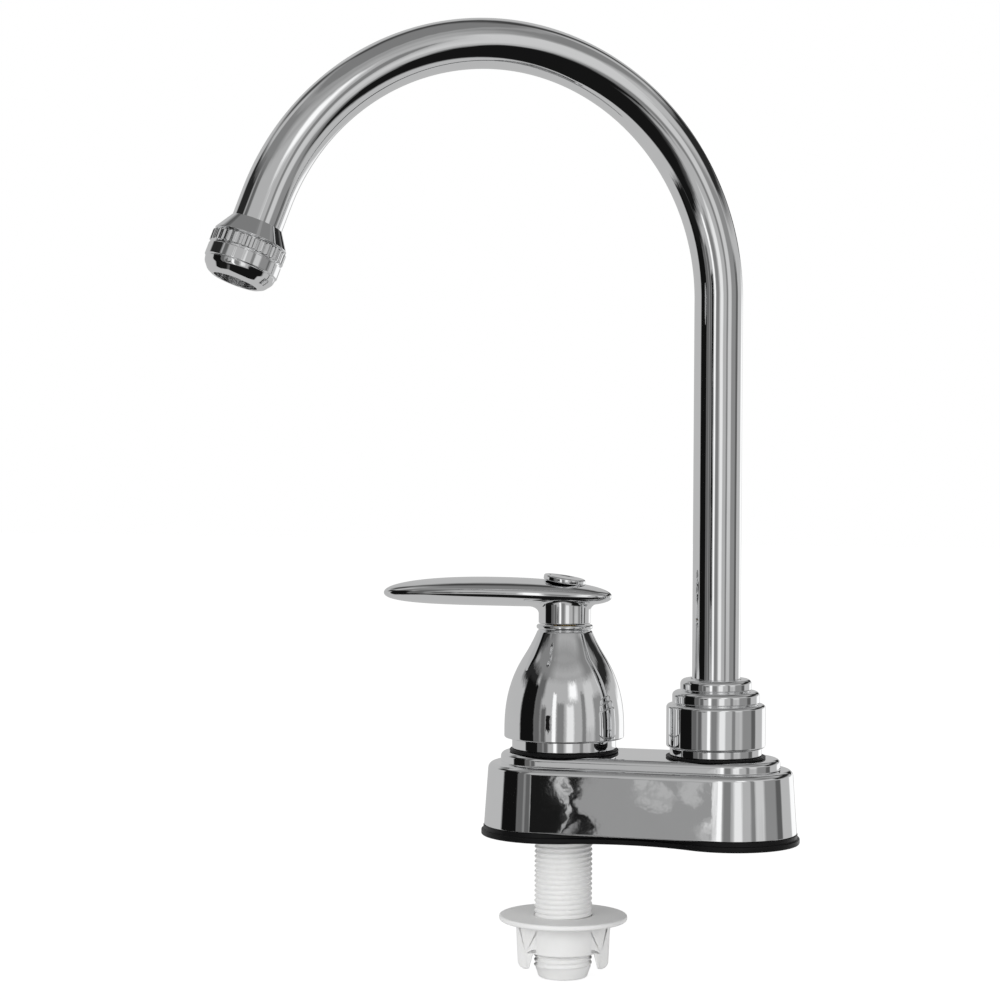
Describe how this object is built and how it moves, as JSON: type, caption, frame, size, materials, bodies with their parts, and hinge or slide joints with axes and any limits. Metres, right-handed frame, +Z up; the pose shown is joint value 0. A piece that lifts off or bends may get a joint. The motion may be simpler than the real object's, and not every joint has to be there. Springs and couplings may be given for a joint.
{
  "type": "gooseneck bar faucet",
  "caption": "Chrome bar faucet with a swivelling high-arc spout and a lever valve on one stadium-shaped deck cover, fixed by a threaded plastic shank and wing nut.",
  "frame": {"origin": "on the valve's axis at deck level, at the underside of the gasket, where the shank goes through the deck", "axes": "+Z up along the valve's axis; the spout's swivel axis stands at +X; the front of the faucet faces -Y and the lever points to -X at rest"},
  "size_m": [0.1837, 0.1472, 0.343],
  "materials": {
    "chrome": "polished chrome plate",
    "black_rubber": "matt black rubber",
    "white_plastic": "moulded white plastic",
    "white_nylon": "natural nylon",
    "brass": "machined brass",
    "ceramic": "lapped ceramic",
    "steel": "stainless steel"
  },
  "bodies": {
    "base": {"base_cover": "chrome", "deck_gasket": "black_rubber", "valve_body": "white_plastic", "base_washer": "black_rubber", "collar_ring": "chrome", "bonnet_nut": "brass", "bell": "chrome", "neck_disc": "chrome", "cartridge_housing": "brass", "cartridge_seal": "black_rubber", "fixed_disc": "ceramic", "crossover_tube": "brass", "crossover_o_rings": "black_rubber", "spout_post": "brass", "spout_washer": "black_rubber", "spout_base_ring": "chrome", "spout_nut": "chrome", "thrust_washer": "white_nylon", "spout_bushing": "white_nylon"},
    "handle": {"lever_handle": "chrome", "handle_screw": "steel", "index_button": "chrome", "spindle": "brass", "spindle_o_ring": "black_rubber", "moving_disc": "ceramic"},
    "spout": {"spout_tube": "chrome", "spout_spigot": "brass", "spout_o_rings": "black_rubber", "aerator_collar": "chrome", "aerator_housing": "chrome", "aerator_washer": "black_rubber", "aerator_insert": "white_nylon", "aerator_screen": "steel"},
    "wing_nut": {"wing_nut": "white_plastic"}
  },
  "joints": [
    {"name": "spout_swivel", "type": "hinge", "parent": "base", "child": "spout", "pos_m": [0.0565, 0, 0], "axis": [0, 0, 1], "continuous": true},
    {"name": "handle_turn", "type": "hinge", "parent": "base", "child": "handle", "pos_m": [0, 0, 0], "axis": [0, 0, 1], "range_deg": [0, 90]},
    {"name": "wing_nut_travel", "type": "slide", "parent": "base", "child": "wing_nut", "axis": [0, 0, 1], "range_m": [-0.009, 0.027]}
  ]
}
